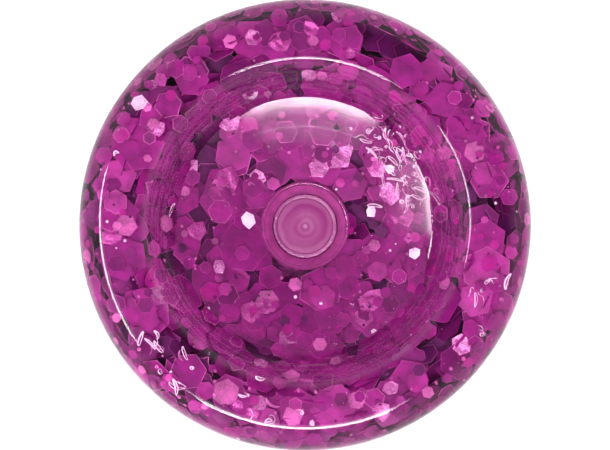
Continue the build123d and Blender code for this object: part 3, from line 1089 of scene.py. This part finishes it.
def stroke_line(draw):
    """A line that curls one way and then another."""
    step = draw.uniform(0.09, 0.2)
    heading, curl = draw.normal(0, 0.4), draw.normal(0, 0.25)
    x = y = 0.0
    line = []
    for _ in range(22):
        line.append((x, y))
        curl += draw.normal(0, 0.12)
        heading += curl
        x += step * cos(heading)
        y += step * sin(heading)
    return np.array(line) - np.mean(line, 0), False


# Where the threads of painted highlight gather: middle azimuth and spread in degrees, inner and outer radius
# as shares of the crown's radius, and how many.
THREAD_CLUSTERS = [
    (34, 24, 0.43, 0.61, 90), (224, 10, 0.80, 0.92, 14), (335, 10, 0.78, 0.93, 14),
    (262, 12, 0.78, 0.90, 8), (150, 150, 0.3, 0.9, 12),
]
LOOP_SHARE, PINK_SHARE = 0.4, 0.25      # how many threads are closed loops, and how many are pink


def ring_of(middle, radius, side, up, count):
    """Points of a ring about a middle, in the plane of two directions."""
    turned = [polar(radius, tau * k / count) for k in range(count)]
    return [middle + side * x + up * y for x, y in turned]


def painted_highlight_threads(materials):
    """Fine white and pale pink threads, in clusters: painted highlight for the light that creased film breaks
    up.
    """
    draw = default_rng(52)
    threads = Pieces()
    for azimuth, spread, inner, outer, count in THREAD_CLUSTERS:
        for _ in range(count):
            angle = radians(azimuth + VIEW_TURN + spread * draw.uniform(-1, 1))
            middle = polar(RIM * draw.uniform(inner, outer), angle)
            line, closed = (loop_line if draw.uniform() < LOOP_SHARE else stroke_line)(draw)
            turn = angle + radians(90 + draw.normal(0, 30))
            thick = draw.uniform(0.05, 0.12) * MM
            depth = draw.uniform(0.20, 0.26) * MM
            slot = int(draw.uniform() < PINK_SHARE)
            waves = np.arange(len(line)) * draw.uniform(0.3, 0.7) + draw.uniform(0, tau)
            swells = (1 + 0.45 * np.sin(waves)).tolist()
            path = []
            for x, y in line * MM:
                px = middle[0] + x * cos(turn) - y * sin(turn)
                py = middle[1] + x * sin(turn) + y * cos(turn)
                point, up = under_the_cap(px, py, depth)
                if point is None or up.z < FACES_UP:
                    break
                path.append((point, up))
            if len(path) < len(line):
                continue
            rings = []
            length = len(path)
            for k, (point, up) in enumerate(path):
                if closed:
                    before, after = k - 1, (k + 1) % length
                    swell = 1.0 + 0.4 * sin(tau * k / length + angle)
                else:
                    before, after = max(k - 1, 0), min(k + 1, length - 1)
                    swell = swells[k] * (0.15 + 0.85 * sin(pi * (k + 0.5) / length))
                ahead = path[after][0] - path[before][0]
                rings.append(ring_of(point, thick * swell, up.cross(ahead).normalized(), up, 6))
            threads.add_rings(rings, slot, closed)
    threads.build("painted_highlight_threads", materials)


def ball(middle, radius, turns=10, levels=6):
    """The rings of a ball with small flats at its poles."""
    rings = []
    for i in range(levels + 1):
        drop, reach = polar(radius, pi * (0.08 + 0.84 * i / levels))
        rings.append(ring_of(middle - drop * DOWN, reach, Vector((1, 0, 0)), Vector((0, 1, 0)), turns))
    return rings


def air_bubbles(count, material):
    """Small bubbles caught under the cap, some of them in two gatherings."""
    draw = default_rng(61)
    bubbles = Pieces()
    for _ in range(count):
        radius = float(draw.choice((0.12, 0.16, 0.24, 0.4), p=(0.4, 0.3, 0.2, 0.1))) * MM
        angle = float(draw.choice((draw.uniform(0, 360), draw.normal(20, 30), draw.normal(320, 20))))
        spot = polar(RIM * draw.uniform(0.22, 0.92), radians(angle))
        middle, up = under_the_cap(*spot, radius + 0.06 * MM)
        if middle and up.z > FACES_UP:
            bubbles.add_rings(ball(middle, radius), 0)
    bubbles.build("air_bubbles", [material])


def plug_bead(material):
    """The uneven bead of gel that lines the gap round the plug; its pale pink is a painted highlight, and it
    covers the gap's shade.
    """
    draw = default_rng(63)
    cap_wall = tree_of("crown_cap")
    turns = 180
    lumps = (1 + 0.1 * np.repeat(draw.uniform(-1, 1, turns // 2), 2)).tolist()
    flattened = Vector((0, 0, 0.45))
    reach, gap, lift = 0.42 * MM, 0.03 * MM, Vector((0, 0, 0.12 * MM))
    rings = []
    for k in range(turns):
        out = Vector((*polar(1, tau * k / turns), 0))
        radius = reach * lumps[k]
        above = (BUTTON_RADIUS + gap + radius) * out + Vector((0, 0, CROWN_TOP))
        middle = cap_wall.ray_cast(above, DOWN)[0] + lift
        rings.append(ring_of(middle, radius, out, flattened, 8))
    bead = Pieces()
    bead.add_rings(rings, 0, closed=True)
    bead.build("plug_bead", [material], node=None, slot="clear_cap")


crumpled_films(34, [
    speckled_film("film_pale", (142, 44, 120), (216, 164, 202), 0.0),
    speckled_film("film_rose", (134, 26, 112), (178, 80, 150), 1.0),
    speckled_film("film_veil", (160, 60, 136), (214, 152, 198), 2.0, alpha=0.4),
])
# the threads' white and pale pink are painted highlight
painted_highlight_threads([
    moulded("white_painted_highlight", (255, 250, 254), (238, 214, 232), 0.15),
    moulded("pink_painted_highlight", (220, 140, 200), (186, 90, 160), 0.2),
])
air_bubbles(90, clear_plastic("bubble_wall", (255, 250, 254)))
# the bead's pale pink is a painted highlight round the plug
plug_bead(moulded("bead_painted_highlight", (200, 116, 176), (166, 74, 142), 0.18))


# ---- handle: a ribbon of grip tape wound over the foam ----
def wound_ribbon():
    """One long strip of grip tape, wound up the handle with each turn's lower edge over the last one."""
    low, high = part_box("handle_wrap")
    pitch, overlap, thick = 17 * MM, 3.4 * MM, 0.36 * MM
    width = pitch + overlap
    heights = np.linspace(low.z + 0.1 * MM, high.z - 0.1 * MM, 60)
    core = gap_walls("handle_foam", heights)[1]
    # the strip's section: how far along the handle and how far off the foam each corner is
    edge = 0.1 * MM
    lift = 1.04 * thick
    sunk = 0.02 * thick
    section = [
        (0, lift + edge), (edge, lift), (overlap, lift), (1.35 * overlap, sunk), (width - edge, sunk),
        (width, edge), (width, thick - edge), (width - edge, thick), (1.35 * overlap, thick),
        (1.02 * overlap, lift + 0.92 * thick), (0.5 * overlap, lift + thick), (edge, lift + thick),
        (0, lift + thick - edge),
    ]
    ribbon = Pieces()
    per_turn = 72
    turns = (high.z - low.z - overlap) / pitch + 1.3
    rings = []
    start = low.z - width
    for k in range(int(turns * per_turn)):
        ring = []
        for along, off in section:
            z = start + pitch * k / per_turn + along
            z = min(max(z, low.z + 0.05 * MM), high.z - 0.05 * MM)
            r = float(np.interp(z, heights, core)) + off + 0.01 * MM
            ring.append((*polar(r, tau * k / per_turn), z))
        rings.append(ring)
    ribbon.add_rings(rings, 0)
    ribbon.build("grip_ribbon", [woven_wrap(start, pitch)], "handle_wrap", "grip_wrap")


wound_ribbon()


# ---- floor ----
paper = Shade("studio_paper", roughness=0.85, specular=0.2)
paper.colour(paper.noise(3, 3), (0.3, (250, 250, 250)), (0.7, (252, 252, 252)))
corners = [(-12, -12, 0), (12, -12, 0), (12, 12, 0), (-12, 12, 0)]
mesh_object("floor", corners, [(0, 1, 2, 3)], [0], [paper])
